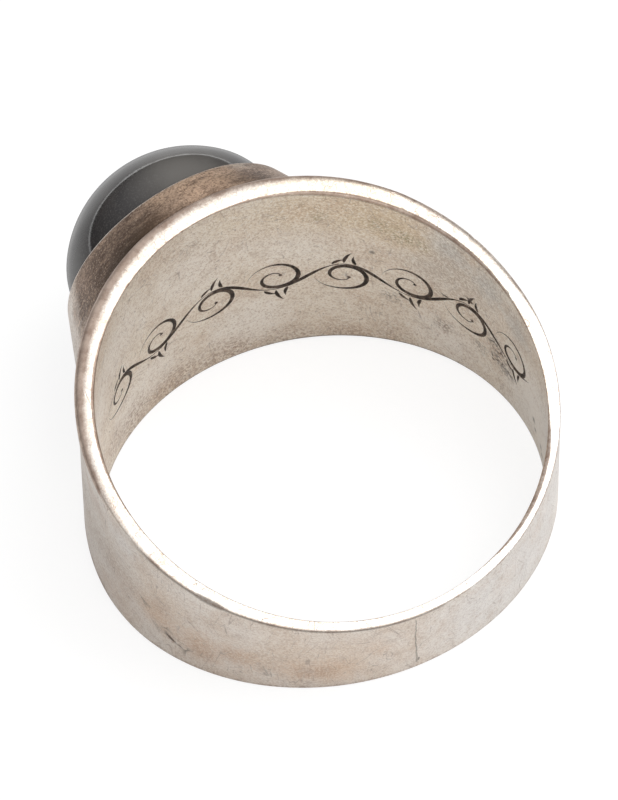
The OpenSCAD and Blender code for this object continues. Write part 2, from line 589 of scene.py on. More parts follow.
# The collar. Its wall is a cone round the stone's axis, trimmed where it comes near a rim. The mesh of the
# head runs from the edge of the outer wall to the collar's foot, up its wall and over its lip.
lip_x = bore_r + head_wall + 1.45 * MM
seat_r = 5.09 * MM
lip_wall = 0.46 * MM
lip_r = seat_r + lip_wall
flare = math.tan(math.radians(23))
trim = 0.47 * MM
fillet = 0.16 * MM
lip_rounding = 0.11 * MM
seat_depth = 1.3 * MM
foot_shade_reach = 0.36 * MM
wall_shade_reach = 0.85 * MM
end_widening = 0.5 * MM
end_raising = 0.35 * MM
least_room = 0.02 * MM
pocket_rings = (3.4 * MM, 1.7 * MM)


def hoop_x(y):
    return outer_shift + np.sqrt(outer_r ** 2 - y ** 2)


def collar_radius(x, angle):
    """The distance of the collar's wall from the stone's axis, at a height and an angle round that axis."""
    cone = lip_r + (lip_x - x) * flare
    trimmed = (rim_height(x) - trim) / np.maximum(np.abs(np.sin(angle)), 0.05)
    sharpness = 40
    return lip_r * ((cone / lip_r) ** -sharpness + (trimmed / lip_r) ** -sharpness) ** (-1 / sharpness)


def round_stone_axis(x, radius, angle):
    """A point at a height on the stone's axis, a distance from it and an angle round it."""
    x, radius, angle = np.broadcast_arrays(x, radius, angle)
    return np.stack([x, radius * np.cos(angle), radius * np.sin(angle)], -1)


head = list(range(head_steps + 1))
border = list(outer_top[head][::-1]) + list(outer_rows[-1])
border += list(outer_low[head]) + list(outer_rows[0][::-1])
border_place = np.array([metal.places[k] for k in border])
angle = np.arctan2(border_place[:, 2], border_place[:, 1])
border_r = np.hypot(border_place[:, 1], border_place[:, 2])
# The foot is where the cone meets the hoop. It is found by halving the difference until nothing is left.
foot_r = np.full_like(angle, lip_r)
halvings = 60
for _ in range(halvings):
    foot_r = (foot_r + collar_radius(hoop_x(foot_r * np.cos(angle)), angle)) / 2
foot_r = np.minimum(foot_r, border_r - least_room)
foot_x = hoop_x(foot_r * np.cos(angle))
foot = round_stone_axis(foot_x, foot_r, angle)
# The solder makes a wide hollow at the two ends of the collar. Towards the near rim, painted shade darkens
# the foot.
end_share = np.cos(angle) ** 4
bright_end = 0.8 * np.exp(-(np.sin(angle) / 0.36) ** 2)
open_end = 0.9 * np.exp(-(np.sin(angle) / 0.22) ** 2)
run = np.minimum(fillet + end_widening * end_share, 0.8 * (border_r - foot_r))
rise = fillet + end_raising * end_share
round_turn = np.degrees(np.arctan2(border_place[:, 1], border_place[:, 0]))
band_tarnish = np.clip((54 - np.abs(round_turn)) / 12, 0, 1)
round_collar = np.degrees(angle)
# How strong the painted shade along the collar's foot is round the stone's axis; it fades at the collar's
# ends
valley = 0.42 + 0.58 * np.exp(-((round_collar - 42) / 34) ** 2)
valley = valley + 0.3 * np.exp(-((round_collar + 70) / 60) ** 2)
valley *= 1 - open_end
deep_valley = np.minimum(1.3 * valley, 1)
loops = []
painted_shade_loops = []
tarnishes = []


def add_loop(loop, dirt_and_shade, tarnish):
    """Keeps the next loop of points round the stone's axis, with its painted shade and its tarnish."""
    loops.append(loop)
    painted_shade_loops.append(np.broadcast_to(dirt_and_shade, angle.shape))
    tarnishes.append(np.broadcast_to(tarnish, angle.shape))


# From the edge of the outer wall to the foot: painted shade that grows towards the foot
for share in np.linspace(0, 1, 11)[1:]:
    r = border_r + (foot_r + run - border_r) * (1 - (1 - share) ** 1.5)
    near_foot = np.exp(-((r - foot_r) / foot_shade_reach) ** 2)
    loop = round_stone_axis(hoop_x(r * np.cos(angle)), r, angle)
    add_loop(loop, near_foot * deep_valley, band_tarnish * (0.4 + 0.6 * share))
before = loops[-1]
rise_x = foot_x + rise
after = round_stone_axis(rise_x, collar_radius(rise_x, angle), angle)
# Round the fillet at the foot: the full painted shade
for t in np.linspace(0, 1, 7)[1:]:
    loop = (1 - t) ** 2 * before + 2 * t * (1 - t) * foot + t ** 2 * after
    add_loop(loop, deep_valley, np.maximum(band_tarnish, t) - bright_end)
wall_top = lip_x - lip_rounding
# Up the collar's wall: painted shade that fades away from the foot
for share in np.linspace(0, 1, 9)[1:]:
    x = rise_x + (wall_top - rise_x) * share
    painted_foot_shade = np.exp(-((x - foot_x) / wall_shade_reach) ** 2) * deep_valley
    add_loop(round_stone_axis(x, collar_radius(x, angle), angle), painted_foot_shade, 1.0 - bright_end)
corner_r = collar_radius(lip_x, angle)
burnished = 0.6 * np.exp(-((round_collar - 30) / 38) ** 2)
for t in np.linspace(0, quarter_turn, 6)[1:]:
    x = lip_x - lip_rounding * (1 - math.sin(t))
    r = corner_r + lip_rounding * (flare * (1 - math.sin(t)) - (1 - math.cos(t)))
    add_loop(round_stone_axis(x, r, angle), 0.0, 0.62 - burnished - 0.4 * bright_end)
# Over the lip into the seat under the stone: painted shade that deepens into the seat
inner_lip = seat_r + 0.05 * MM
for share in (0.33, 0.66, 1):
    r = corner_r - lip_rounding + (inner_lip - corner_r + lip_rounding) * share
    add_loop(round_stone_axis(lip_x, r, angle), 0.3 + 0.6 * share, 1.0)
for drop, widening in ((0.015 * MM, 0.015 * MM), (0.05 * MM, 0), (0.4 * MM, 0), (seat_depth, 0)):
    add_loop(round_stone_axis(lip_x - drop, seat_r + widening, angle), 1.0, 1.0)
for r in pocket_rings:
    add_loop(round_stone_axis(lip_x - seat_depth, r, angle), 1.0, 1.0)
head_grid = metal.add(np.stack(loops, 1), np.stack(painted_shade_loops, 1), 0.0, np.stack(tarnishes, 1))
head_grid = np.column_stack([border, head_grid])
metal.skin(closed(head_grid))
seat_middle = metal.add([[lip_x - seat_depth, 0, 0]], 1.0)[0]
ring_of_seat = closed(head_grid[:, -1:])[:, 0]
for a, b in zip(ring_of_seat, ring_of_seat[1:]):
    metal.faces.append((a, b, seat_middle))
    metal.engraved.append(False)

# The outside is dished a little on the left, where the hoop was hammered thinner below the near rim
dish_depth = 0.13 * MM
dish_turn = 68
dish_reach = 22
dish_top = 0.3 * MM
dish_run = 2.6 * MM
dish_ease = 0.6 * MM


def dished(places):
    """The places after the dish was pressed in. A point moves towards the finger hole, along the rim."""
    x, y, z = np.array(places).T
    from_hole = np.maximum(np.hypot(x, y), bore_r / 2)
    below = ((rim_height(x) - z - dish_top) / dish_run).clip(0, 1)
    outside_share = ((from_hole - bore_r) / dish_ease).clip(0, 1)
    round_hole = np.degrees(np.arctan2(y, x))
    depth = dish_depth * np.exp(-((round_hole - dish_turn) / dish_reach) ** 2) * outside_share
    depth *= below ** 2 * (3 - 2 * below)
    moved = depth / from_hole
    return list(np.stack([x * (1 - moved), y * (1 - moved), z + rim_slope * x * moved], -1))


metal.places = dished(metal.places)


def finished_mesh(name, source):
    """Turns the collected points and faces into a mesh that lies as the ring does."""
    mesh = bpy.data.meshes.new(name)
    used = sorted({k for face in source.faces for k in face})
    renumbered = {k: i for i, k in enumerate(used)}
    places = np.array(source.places)[used]
    turned = np.array(lying.to_3x3())
    lying_places = places @ turned.T + np.array(hole_centre)
    mesh.from_pydata(lying_places.tolist(), [], [[renumbered[k] for k in f] for f in source.faces])
    ring_place = mesh.attributes.new("ring_place", "FLOAT_VECTOR", "POINT")
    ring_place.data.foreach_set("vector", (places / MM).astype(np.float32).ravel())
    for label, values in (("dirt_and_shade", source.dirt_and_shade), ("worn", source.worn), ("tarnish", source.tarnish)):
        made = mesh.attributes.new(label, "FLOAT", "POINT")
        made.data.foreach_set("value", np.array(values, np.float32)[used])
    mesh.polygons.foreach_set("material_index", np.array(source.engraved, np.int32))
    mesh.validate()
    return mesh


def outward(mesh):
    """Makes all faces of a closed mesh look outwards."""
    work = bmesh.new()
    work.from_mesh(mesh)
    bmesh.ops.recalc_face_normals(work, faces=work.faces)
    work.to_mesh(mesh)
    work.free()


sharp_angle = math.radians(32)
band_mesh = finished_mesh("band", metal)
outward(band_mesh)
band_mesh.shade_smooth()
band_mesh.set_sharp_from_angle(angle=sharp_angle)
band = bpy.data.objects.new("silver_band", band_mesh)
bpy.context.scene.collection.objects.link(band)


def socket(group, name, kind, direction, value=None):
    made = group.interface.new_socket(name=name, in_out=direction, socket_type="NodeSocket" + kind)
    if value is not None:
        made.default_value = value


def node(tree, kind, inputs=(), **settings):
    """Adds a node, sets its options, and sets or links its inputs, given as (socket, value or output)."""
    made = tree.nodes.new("ShaderNode" + kind)
    for key, value in settings.items():
        setattr(made, key, value)
    for key, value in inputs:
        if isinstance(value, bpy.types.NodeSocket):
            tree.links.new(value, made.inputs[key])
        else:
            made.inputs[key].default_value = value
    return made


def maths(tree, operation, a, b=0.5):
    return node(tree, "Math", [(0, a), (1, b)], operation=operation).outputs[0]


def blend(tree, share, a, b):
    """Goes from colour a to colour b by a share."""
    return node(tree, "Mix", [(0, share), (6, a), (7, b)], data_type="RGBA").outputs[2]


def group_tree(name, inputs, outputs):
    """Starts a shader node group and returns it with its inner input and output nodes."""
    group = bpy.data.node_groups.new(name, "ShaderNodeTree")
    for label, kind, value in inputs:
        socket(group, label, kind, "INPUT", value)
    for label in outputs:
        socket(group, label, "Float", "OUTPUT")
    return group, group.nodes.new("NodeGroupInput"), group.nodes.new("NodeGroupOutput")


def turned_place(tree, place, angle):
    settings = [("Vector", place), ("Angle", angle)]
    return node(tree, "VectorRotate", settings, rotation_type="Z_AXIS").outputs[0]


def noise(tree, place, scale, detail=4.0, roughness=0.6, stretch=None, turned=0.0):
    """A noise texture. It may be stretched, and turned about the third axis."""
    if turned:
        place = turned_place(tree, place, turned)
    if stretch:
        place = node(tree, "VectorMath", [(0, place), (1, stretch)], operation="MULTIPLY").outputs[0]
    settings = [("Vector", place), ("Scale", scale), ("Detail", detail), ("Roughness", roughness)]
    return node(tree, "TexNoise", settings).outputs["Fac"]


def ramp(tree, value, low, high, start=0.0, end=1.0, smooth=False):
    """Takes a value from low..high to start..end."""
    kind = "SMOOTHSTEP" if smooth else "LINEAR"
    settings = [(0, value), (1, low), (2, high), (3, start), (4, end)]
    return node(tree, "MapRange", settings, interpolation_type=kind).outputs[0]


def stain_and_light_patch_group():
    """A patch, for stains and for painted light: full at its centre, nothing past its reach, with an uneven
    edge, and speckled or plain.
    """
    inputs = [
        ("Place", "Vector", None), ("Centre", "Vector", None), ("Reach", "Float", 1.0),
        ("Unevenness", "Float", 0.5), ("Specks", "Float", 1.0), ("Speckle", "Float", 0.5),
    ]
    group, put, out = group_tree("stain_and_light_patch", inputs, ["Mask"])
    given = put.outputs
    ends = [(0, given["Place"]), (1, given["Centre"])]
    gap = node(group, "VectorMath", ends, operation="DISTANCE").outputs["Value"]
    share = maths(group, "DIVIDE", gap, given["Reach"])
    share = maths(group, "ADD", share, maths(group, "SUBTRACT", given["Unevenness"], 0.5))
    mask = ramp(group, share, 1.0, 0.1, smooth=True)
    plain = maths(group, "SUBTRACT", 1.0, given["Speckle"])
    speckled = maths(group, "ADD", maths(group, "MULTIPLY", given["Specks"], given["Speckle"]), plain)
    group.links.new(maths(group, "MULTIPLY", mask, speckled), out.inputs["Mask"])
    return group


wall_middle_mm = 9.8
collar_middle_mm = 5.8


def rubbed_group():
    """Silver that was rubbed for years. The walls are unrolled at the solder seam, so that the wear runs
    round the ring: a speckled grain, streaks, clouds, sparse dots, and hair scratches in many ways."""
    results = [
        "Grain", "Streaks", "Clouds", "Hairs", "Dots", "Outside", "Unevenness", "Specks", "Collar Streaks",
    ]
    group, put, out = group_tree("rubbed_silver", [("Place", "Vector", None)], results)
    given = put.outputs["Place"]
    seam_at_cut = math.radians(180 - seam_turns[0])
    x, y, z = node(group, "SeparateXYZ", [(0, turned_place(group, given, seam_at_cut))]).outputs
    turn = maths(group, "ARCTAN2", y, x)
    level = node(group, "CombineXYZ", [(0, x), (1, y)]).outputs[0]
    radius = node(group, "VectorMath", [(0, level)], operation="LENGTH").outputs["Value"]
    unrolled = maths(group, "MULTIPLY", turn, wall_middle_mm)
    wall = node(group, "CombineXYZ", [(0, unrolled), (1, z), (2, radius)]).outputs[0]
    grain = noise(group, wall, 11.0, 4.0, 0.72)
    streaks = noise(group, wall, 1.0, 3.0, 0.6, stretch=(0.5, 5.0, 1.0))
    clouds = noise(group, wall, 0.5, 7.0, 0.62)
    hairs = None
    directions = ((0.15, 13.0), (-0.5, 11.0), (1.05, 12.0), (1.45, 14.0), (-1.2, 12.0), (1.75, 9.0))
    for number, (heading, fineness) in enumerate(directions):
        line = noise(group, wall, 1.0, 1.0, 0.3, stretch=(0.2, 0.16 * fineness, 1.0), turned=heading)
        away = maths(group, "ABSOLUTE", maths(group, "SUBTRACT", line, 0.5))
        thin = ramp(group, away, 0.0, 0.006, 1.0, 0.0)
        patchy = ramp(group, noise(group, wall, 0.8 + 0.11 * number, 2.0, 0.5), 0.5, 0.6)
        thin = maths(group, "MULTIPLY", thin, patchy)
        hairs = thin if hairs is None else maths(group, "MAXIMUM", hairs, thin)
    cells = node(group, "TexVoronoi", [("Vector", wall), ("Scale", 1.6)])
    chosen = node(group, "SeparateColor", [(0, cells.outputs["Color"])])
    size = ramp(group, chosen.outputs[0], 0.45, 1.0, 0.0, 0.07)
    from_dot = maths(group, "ADD", cells.outputs["Distance"], maths(group, "MULTIPLY", grain, 0.2))
    dots = ramp(group, maths(group, "SUBTRACT", from_dot, size), 0.12, 0.07)
    outside = ramp(group, radius, 9.55, 9.8)
    unevenness = noise(group, given, 1.5, 7.0, 0.72)
    specks = ramp(group, noise(group, given, 7.0, 3.0, 0.6), 0.45, 0.56)
    own = node(group, "SeparateXYZ", [(0, given)]).outputs
    round_stone = maths(group, "MULTIPLY", maths(group, "ARCTAN2", own["Z"], own["Y"]), collar_middle_mm)
    collar_wall = node(group, "CombineXYZ", [(0, round_stone), (1, own["X"])]).outputs[0]
    collar_streaks = noise(group, collar_wall, 1.5, 7.0, 0.78, stretch=(0.6, 2.3, 1.0))
    made = (grain, streaks, clouds, hairs, dots, outside, unevenness, specks, collar_streaks)
    for label, value in zip(results, made):
        group.links.new(value, out.inputs[label])
    return group


stain_and_light_patch = stain_and_light_patch_group()
rubbed_silver = rubbed_group()


def placed_group(tree, group, **inputs):
    """Places a node group in a material with its own values, and returns its outputs."""
    return node(tree, "Group", inputs.items(), node_tree=group).outputs


def wall_spot(turn, height, outside):
    """A place on a wall of the ring, in millimetres, for a stain's centre."""
    radius = outer_radius(np.array(math.radians(turn))) if outside else bore_r
    return tuple(round_place(math.radians(turn), radius, height * MM) / MM)


inside_silver = (0.93, 0.845, 0.73, 1)
inside_dull = (0.82, 0.70, 0.575, 1)
outside_silver = (0.87, 0.80, 0.73, 1)
outside_dull = (0.78, 0.67, 0.575, 1)
frost = (0.85, 0.825, 0.80, 1)
drab = (0.64, 0.575, 0.50, 1)
tan = (0.78, 0.64, 0.51, 1)
pale = (1.0, 0.95, 0.88, 1)
straw = (0.76, 0.61, 0.41, 1)
olive = (0.36, 0.31, 0.17, 1)
blue_grey = (0.62, 0.62, 0.60, 1)
orange = (0.70, 0.48, 0.32, 1)
rust = (0.52, 0.34, 0.235, 1)
brown = (0.42, 0.295, 0.22, 1)
scuff = (0.36, 0.285, 0.25, 1)
soot_and_shade = (0.075, 0.05, 0.035, 1)
rim_light = (0.60, 0.47, 0.39, 1)
rim_dark = (0.38, 0.27, 0.215, 1)

# Where the stains sit: tint, angle round the ring, height, whether on the outside, reach, strength,
# speckle. The pale patches on the inner wall are painted light, not stains.
stains_and_painted_light = [
    (pale, 5, 2.4, False, 3.4, 0.7, 0.2), (pale, -22, 2.2, False, 3.2, 0.5, 0.2),
    (brown, 3, -5.0, False, 1.6, 0.5, 0.9), (pale, 52, 1.6, False, 3.4, 0.8, 0.2),
    (pale, 34, 2.6, False, 3.0, 0.85, 0.2), (pale, 16, -3.2, False, 2.6, 0.8, 0.2),
    (pale, -11, -3.6, False, 3.2, 0.9, 0.1), (pale, 30, -3.6, False, 2.8, 0.9, 0.1),
    (pale, -66, -3.4, False, 2.8, 0.9, 0.1), (pale, -100, -1.4, False, 3.6, 1.0, 0.1),
    (pale, -92, -3.8, False, 2.6, 0.8, 0.1), (pale, -112, 0.4, False, 3.0, 0.8, 0.1),
    (blue_grey, -62, 1.4, False, 2.4, 0.35, 0.3), (drab, -62, 2.6, False, 2.8, 0.65, 0.3),
    (drab, -77, 1.4, False, 2.2, 0.35, 0.3), (frost, -150, -0.5, True, 5.0, 1.0, 0.1),
    (frost, -168, 0.0, True, 4.2, 0.9, 0.1), (frost, -128, 0.0, True, 5.0, 1.0, 0.1),
    (tan, 106, 0.5, True, 2.6, 0.7, 0.3), (drab, 76, -0.3, True, 3.4, 0.6, 0.3),
    (tan, 141, 0.3, True, 3.0, 0.5, 0.3), (drab, 90, 0.8, True, 2.6, 0.35, 0.4),
    (tan, 152, -0.2, True, 2.4, 0.5, 0.3), (frost, 94, 2.9, True, 1.5, 0.6, 0.2),
    (straw, -6, 4.8, False, 2.0, 0.35, 0.5), (straw, -25, 4.6, False, 3.2, 0.7, 0.4),
    (straw, -42, 4.4, False, 2.8, 0.9, 0.4), (drab, -66, 3.3, False, 2.0, 0.35, 0.2),
    (drab, -73, 2.3, False, 2.0, 0.35, 0.2), (straw, -50, 3.7, False, 2.1, 0.65, 0.3),
    (orange, -35, 4.8, False, 1.3, 0.4, 0.7), (orange, -25, 4.3, False, 1.1, 0.3, 0.7),
    (straw, -55, 3.5, False, 1.8, 0.7, 0.5), (olive, -52, 3.3, False, 0.9, 0.8, 0.95),
    (olive, -57, 3.2, False, 0.7, 0.7, 0.95), (olive, -46, 3.7, False, 0.8, 0.6, 0.95),
    (olive, -30, 3.9, False, 0.7, 0.5, 0.95), (blue_grey, -66, 4.0, False, 1.6, 0.7, 0.1),
    (blue_grey, -79, 3.2, False, 1.8, 0.8, 0.1), (blue_grey, -92, 2.5, False, 1.7, 0.7, 0.1),
    (brown, -6, -5.4, False, 1.9, 0.8, 0.9), (brown, -22, -5.8, False, 2.0, 0.7, 0.9),
    (brown, 12, -5.5, False, 2.2, 0.8, 0.9), (brown, 28, -4.8, False, 1.9, 0.8, 0.9),
    (brown, 40, -4.2, False, 1.6, 0.7, 0.9), (brown, 52, -3.4, False, 1.5, 0.6, 0.9),
    (brown, -36, -5.4, False, 1.6, 0.6, 0.9), (brown, -84, -1.2, False, 1.2, 0.7, 0.9),
    (soot_and_shade, -49, -1.7, False, 0.7, 0.6, 0.95), (soot_and_shade, -64, -2.3, False, 0.7, 0.6, 0.95),
    (soot_and_shade, -82, -0.6, False, 0.8, 0.75, 0.95), (soot_and_shade, -86.5, -1.8, False, 1.0, 0.75, 0.95),
    (soot_and_shade, -76.5, -2.0, False, 0.7, 0.6, 0.95), (brown, -65, -2.4, False, 0.8, 0.5, 0.9),
    (brown, -50, -4.6, False, 1.5, 0.45, 0.9), (brown, 10, 2.9, False, 0.6, 0.5, 0.95),
    (brown, 5, 4.2, False, 0.7, 0.4, 0.95), (brown, -10, 2.6, False, 0.6, 0.35, 0.95),
    (orange, 105, -0.9, True, 1.6, 0.65, 0.3), (orange, 118, -1.0, True, 1.7, 0.7, 0.3),
    (rust, 107, 0.2, True, 0.9, 0.5, 0.5), (rust, 119, -1.6, True, 1.0, 0.4, 0.4),
    (rust, 127, -0.8, True, 1.0, 0.55, 0.5), (orange, 130, -0.8, True, 1.4, 0.5, 0.4),
    (orange, 142, -1.0, True, 1.4, 0.5, 0.3), (rust, 146, -1.1, True, 0.9, 0.55, 0.5),
    (orange, 152, -0.9, True, 1.5, 0.6, 0.3), (rust, 150, -1.0, True, 0.7, 0.4, 0.6),
    (orange, 163, 0.4, True, 1.0, 0.4, 0.4), (brown, 92, -0.4, True, 2.4, 0.3, 0.4),
    (brown, 82, 2.6, True, 1.0, 0.35, 0.6), (brown, 84, -0.5, True, 1.6, 0.35, 0.7),
    (brown, 110, -1.9, True, 0.8, 0.5, 0.9), (orange, -160, 0.2, True, 1.4, 0.2, 0.7),
    (orange, -146, 0.8, True, 1.2, 0.25, 0.7),
]

# Over the wear lie pale patches inside, to the right of the head, painted light that lightens the wall
# there: angle, height, reach and strength. On them are small dots of soot, which are as strong as each
# other: angle, height and reach.
painted_light_spots = [(-104, -2.2, 3.2, 0.55), (-117, -2.0, 3.2, 0.7), (-97, -0.6, 3.0, 0.35)]
soot_dots = [
    (-102.7, -2.05, 0.24), (-109.5, -2.5, 0.22), (-111, -2.75, 0.2), (-104.2, -2.5, 0.2), (-44, 1.5, 0.2),
]
soot_strength = 0.7

# The tarnish on the collar: tint, angle round the stone, distance from the hole's axis, reach and strength.
# The coppers at
# 78 to 106 degrees are a painted highlight along the collar's middle, and the dark browns low down at 25 to
# 70 degrees are painted shade along its foot.
beige = (0.82, 0.72, 0.62, 1)
mid_brown = (0.27, 0.19, 0.145, 1)
red_brown = (0.34, 0.22, 0.16, 1)
dark_brown = (0.115, 0.075, 0.055, 1)
copper = (0.74, 0.52, 0.365, 1)
collar_light = (0.50, 0.37, 0.28, 1)
collar_dark = (0.37, 0.265, 0.20, 1)
collar_tarnish_and_painted_light = [
    (beige, -3, 10.0, 2.2, 0.9), (mid_brown, 26, 11.0, 1.6, 0.8), (mid_brown, 41, 11.2, 1.8, 0.9),
    (dark_brown, 42, 11.3, 0.9, 0.5), (mid_brown, 58, 11.3, 1.6, 0.7), (beige, 2, 11.2, 1.6, 0.95),
    (beige, 17, 11.7, 0.9, 0.8), (pale, 9, 11.5, 1.1, 0.9), (dark_brown, 25, 10.1, 1.4, 0.95),
    (dark_brown, 41, 10.1, 1.7, 1.0), (dark_brown, 56, 10.3, 1.6, 1.0), (dark_brown, 70, 10.6, 1.1, 0.75),
    (red_brown, 15, 9.8, 1.0, 0.5), (copper, 92, 11.4, 1.3, 0.85), (copper, 106, 11.3, 1.4, 0.85),
    (copper, 78, 11.6, 0.8, 0.6), (beige, 122, 11.8, 0.9, 0.7), (mid_brown, 122, 10.7, 1.2, 0.95),
    (dark_brown, 131, 11.5, 0.9, 0.5), (dark_brown, 165, 11.0, 1.8, 0.7), (copper, 190, 11.3, 1.4, 0.6),
    (dark_brown, 215, 11.1, 2.0, 0.8), (dark_brown, 250, 11.0, 1.8, 0.7), (copper, 275, 11.4, 1.6, 0.6),
    (dark_brown, 305, 11.1, 2.1, 0.85), (red_brown, 335, 11.2, 1.5, 0.6),
]


def collar_spot(turn, x):
    """A place on the collar's wall, in millimetres."""
    turn = math.radians(turn)
    radius = float(collar_radius(x * MM, np.array(turn))) / MM
    return x, radius * math.cos(turn), radius * math.sin(turn)


def silver_look():
    material = bpy.data.materials.new("worn_silver")
    material.use_nodes = True
    tree = material.node_tree
    shader = tree.nodes["Principled BSDF"]
    place = node(tree, "Attribute", attribute_name="ring_place").outputs["Vector"]
    dirt_and_shade = node(tree, "Attribute", attribute_name="dirt_and_shade").outputs["Fac"]
    worn = node(tree, "Attribute", attribute_name="worn").outputs["Fac"]
    tarnish = node(tree, "Attribute", attribute_name="tarnish").outputs["Fac"]
    wear = placed_group(tree, rubbed_silver, Place=place)
    grain, streaks, clouds, hairs, dots, outside, unevenness, specks, collar_streaks = wear

    def times(a, b):
        return maths(tree, "MULTIPLY", a, b)

    def plus(a, b):
        return maths(tree, "ADD", a, b)

    def minus(a, b):
        return maths(tree, "SUBTRACT", a, b)

    def patched(colour, tint, spot, reach, strength, speckle):
        mask = placed_group(
            tree, stain_and_light_patch, Place=place, Centre=spot, Reach=reach, Unevenness=unevenness, Specks=specks,
            Speckle=speckle,
        )["Mask"]
        return blend(tree, times(mask, strength), colour, tint)

    cloudy = ramp(tree, clouds, 0.4, 0.62)
    inner = blend(tree, cloudy, inside_silver, inside_dull)
    outer = blend(tree, cloudy, outside_silver, outside_dull)
    colour = blend(tree, outside, inner, outer)
    # The table's pale patches on the inner wall are painted light
    for tint, turn, height, on_outside, reach, strength, speckle in stains_and_painted_light:
        colour = patched(colour, tint, wall_spot(turn, height, on_outside), reach, strength, speckle)

    # The wear: dark and pale specks in the grain, faint streaks, hair scratches and dots of dirt
    fade = ramp(tree, outside, 0.0, 1.0, 1.0, 0.62)
    colour = blend(tree, times(ramp(tree, grain, 0.5, 0.66, 0.0, 0.58), fade), colour, brown)
    colour = blend(tree, times(ramp(tree, grain, 0.5, 0.36, 0.0, 0.85), fade), colour, pale)
    colour = blend(tree, ramp(tree, unevenness, 0.54, 0.69, 0.0, 0.36), colour, brown)
    colour = blend(tree, ramp(tree, unevenness, 0.46, 0.32, 0.0, 0.3), colour, pale)
    colour = blend(tree, ramp(tree, streaks, 0.54, 0.72, 0.0, 0.14), colour, brown)
    colour = blend(tree, times(hairs, 0.6), colour, scuff)
    colour = blend(tree, times(dots, 0.55), colour, scuff)
    # Painted light: pale patches on the inner wall to the right of the head
    for turn, height, reach, strength in painted_light_spots:
        colour = patched(colour, pale, wall_spot(turn, height, False), reach, strength, 0.1)
    for turn, height, reach in soot_dots:
        colour = patched(colour, soot_and_shade, wall_spot(turn, height, False), reach, soot_strength, 0.1)

    # The tarnish that stays on the rims' roundings
    rim_tone = blend(tree, ramp(tree, unevenness, 0.38, 0.6), rim_light, rim_dark)
    ragged = plus(worn, times(minus(unevenness, 0.5), 1.15))
    ragged = plus(ragged, times(minus(grain, 0.5), 0.6))
    rim_share = times(ramp(tree, ragged, 0.1, 0.68), ramp(tree, worn, 0.0, 0.15))
    colour = blend(tree, times(rim_share, 0.9), colour, rim_tone)

    # The thick tarnish on the collar and round its foot, with a painted highlight, painted shade along the
    # foot and painted glints in the grain
    tone = blend(tree, ramp(tree, clouds, 0.4, 0.6), collar_light, collar_dark)
    for tint, turn, x, reach, strength in collar_tarnish_and_painted_light:
        tone = patched(tone, tint, collar_spot(turn, x), reach, strength, 0.3)
    tone = blend(tree, ramp(tree, collar_streaks, 0.5, 0.64, 0.0, 0.85), tone, dark_brown)
    tone = blend(tree, ramp(tree, collar_streaks, 0.46, 0.36, 0.0, 0.55), tone, copper)
    tone = blend(tree, ramp(tree, grain, 0.5, 0.62, 0.0, 0.7), tone, dark_brown)
    tone = blend(tree, ramp(tree, grain, 0.47, 0.36, 0.0, 0.42), tone, copper)
    # The pale beige specks of the grain are painted glints
    tone = blend(tree, ramp(tree, grain, 0.42, 0.3, 0.0, 0.45), tone, beige)
    edge = plus(tarnish, minus(unevenness, 0.5))
    colour = blend(tree, ramp(tree, edge, 0.2, 0.8), colour, tone)

    # Dirt in the rims' lines, nicks and outline and in the marks and pits, and painted shade at the
    # collar's foot and in its seat under the stone
    colour = blend(tree, times(dirt_and_shade, 0.95), colour, soot_and_shade)
    tree.links.new(colour, shader.inputs["Base Color"])
    shader.inputs["Metallic"].default_value = 1.0
    roughness = plus(ramp(tree, grain, 0.3, 0.7, 0.26, 0.42), times(tarnish, 0.06))
    tree.links.new(roughness, shader.inputs["Roughness"])
    relief = plus(times(streaks, 0.6), grain)
    relief = minus(relief, times(hairs, 0.6))
    relief = minus(relief, times(dots, 0.8))
    relief = plus(relief, times(clouds, 3.0))
    relief = plus(relief, times(times(collar_streaks, tarnish), 3.0))
    bump = node(tree, "Bump", [("Height", relief), ("Strength", 0.7), ("Distance", 0.015 * MM)])
    tree.links.new(bump.outputs[0], shader.inputs["Normal"])
    return material


groove_black = (0.04, 0.03, 0.025, 1)
groove_worn = (0.22, 0.165, 0.13, 1)


def groove_look():
    """The black that fills the engraving, worn away in places."""
    material = bpy.data.materials.new("blackened_grooves")
    material.use_nodes = True
    tree = material.node_tree
    shader = tree.nodes["Principled BSDF"]
    place = node(tree, "Attribute", attribute_name="ring_place").outputs["Vector"]
    share = ramp(tree, noise(tree, place, 3.5, 4.0), 0.42, 0.66, 0.0, 0.7)
    colour = blend(tree, share, groove_black, groove_worn)
    tree.links.new(colour, shader.inputs["Base Color"])
    shader.inputs["Metallic"].default_value = 0.5
    shader.inputs["Roughness"].default_value = 0.55
    return material


band_mesh.materials.append(silver_look())
band_mesh.materials.append(groove_look())
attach(band, "root")
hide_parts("band")

# The stone is a round, high domed cabochon of polished black onyx. It stands in the collar, whose lip holds
# it. Its section is a spherical top that meets a rounded shoulder, and a flat back with a bevel.
stone_r = 5.045 * MM
dome_h = 4.295 * MM
shoulder_r = 3.5 * MM
shoulder_c = stone_r - shoulder_r
crown_r = (shoulder_c ** 2 + dome_h ** 2 - shoulder_r ** 2) / (2 * (dome_h - shoulder_r))
crown_c = dome_h - crown_r
back_depth = 1.25 * MM
back_bevel = 0.25 * MM
meet = math.atan2(-crown_c, shoulder_c)


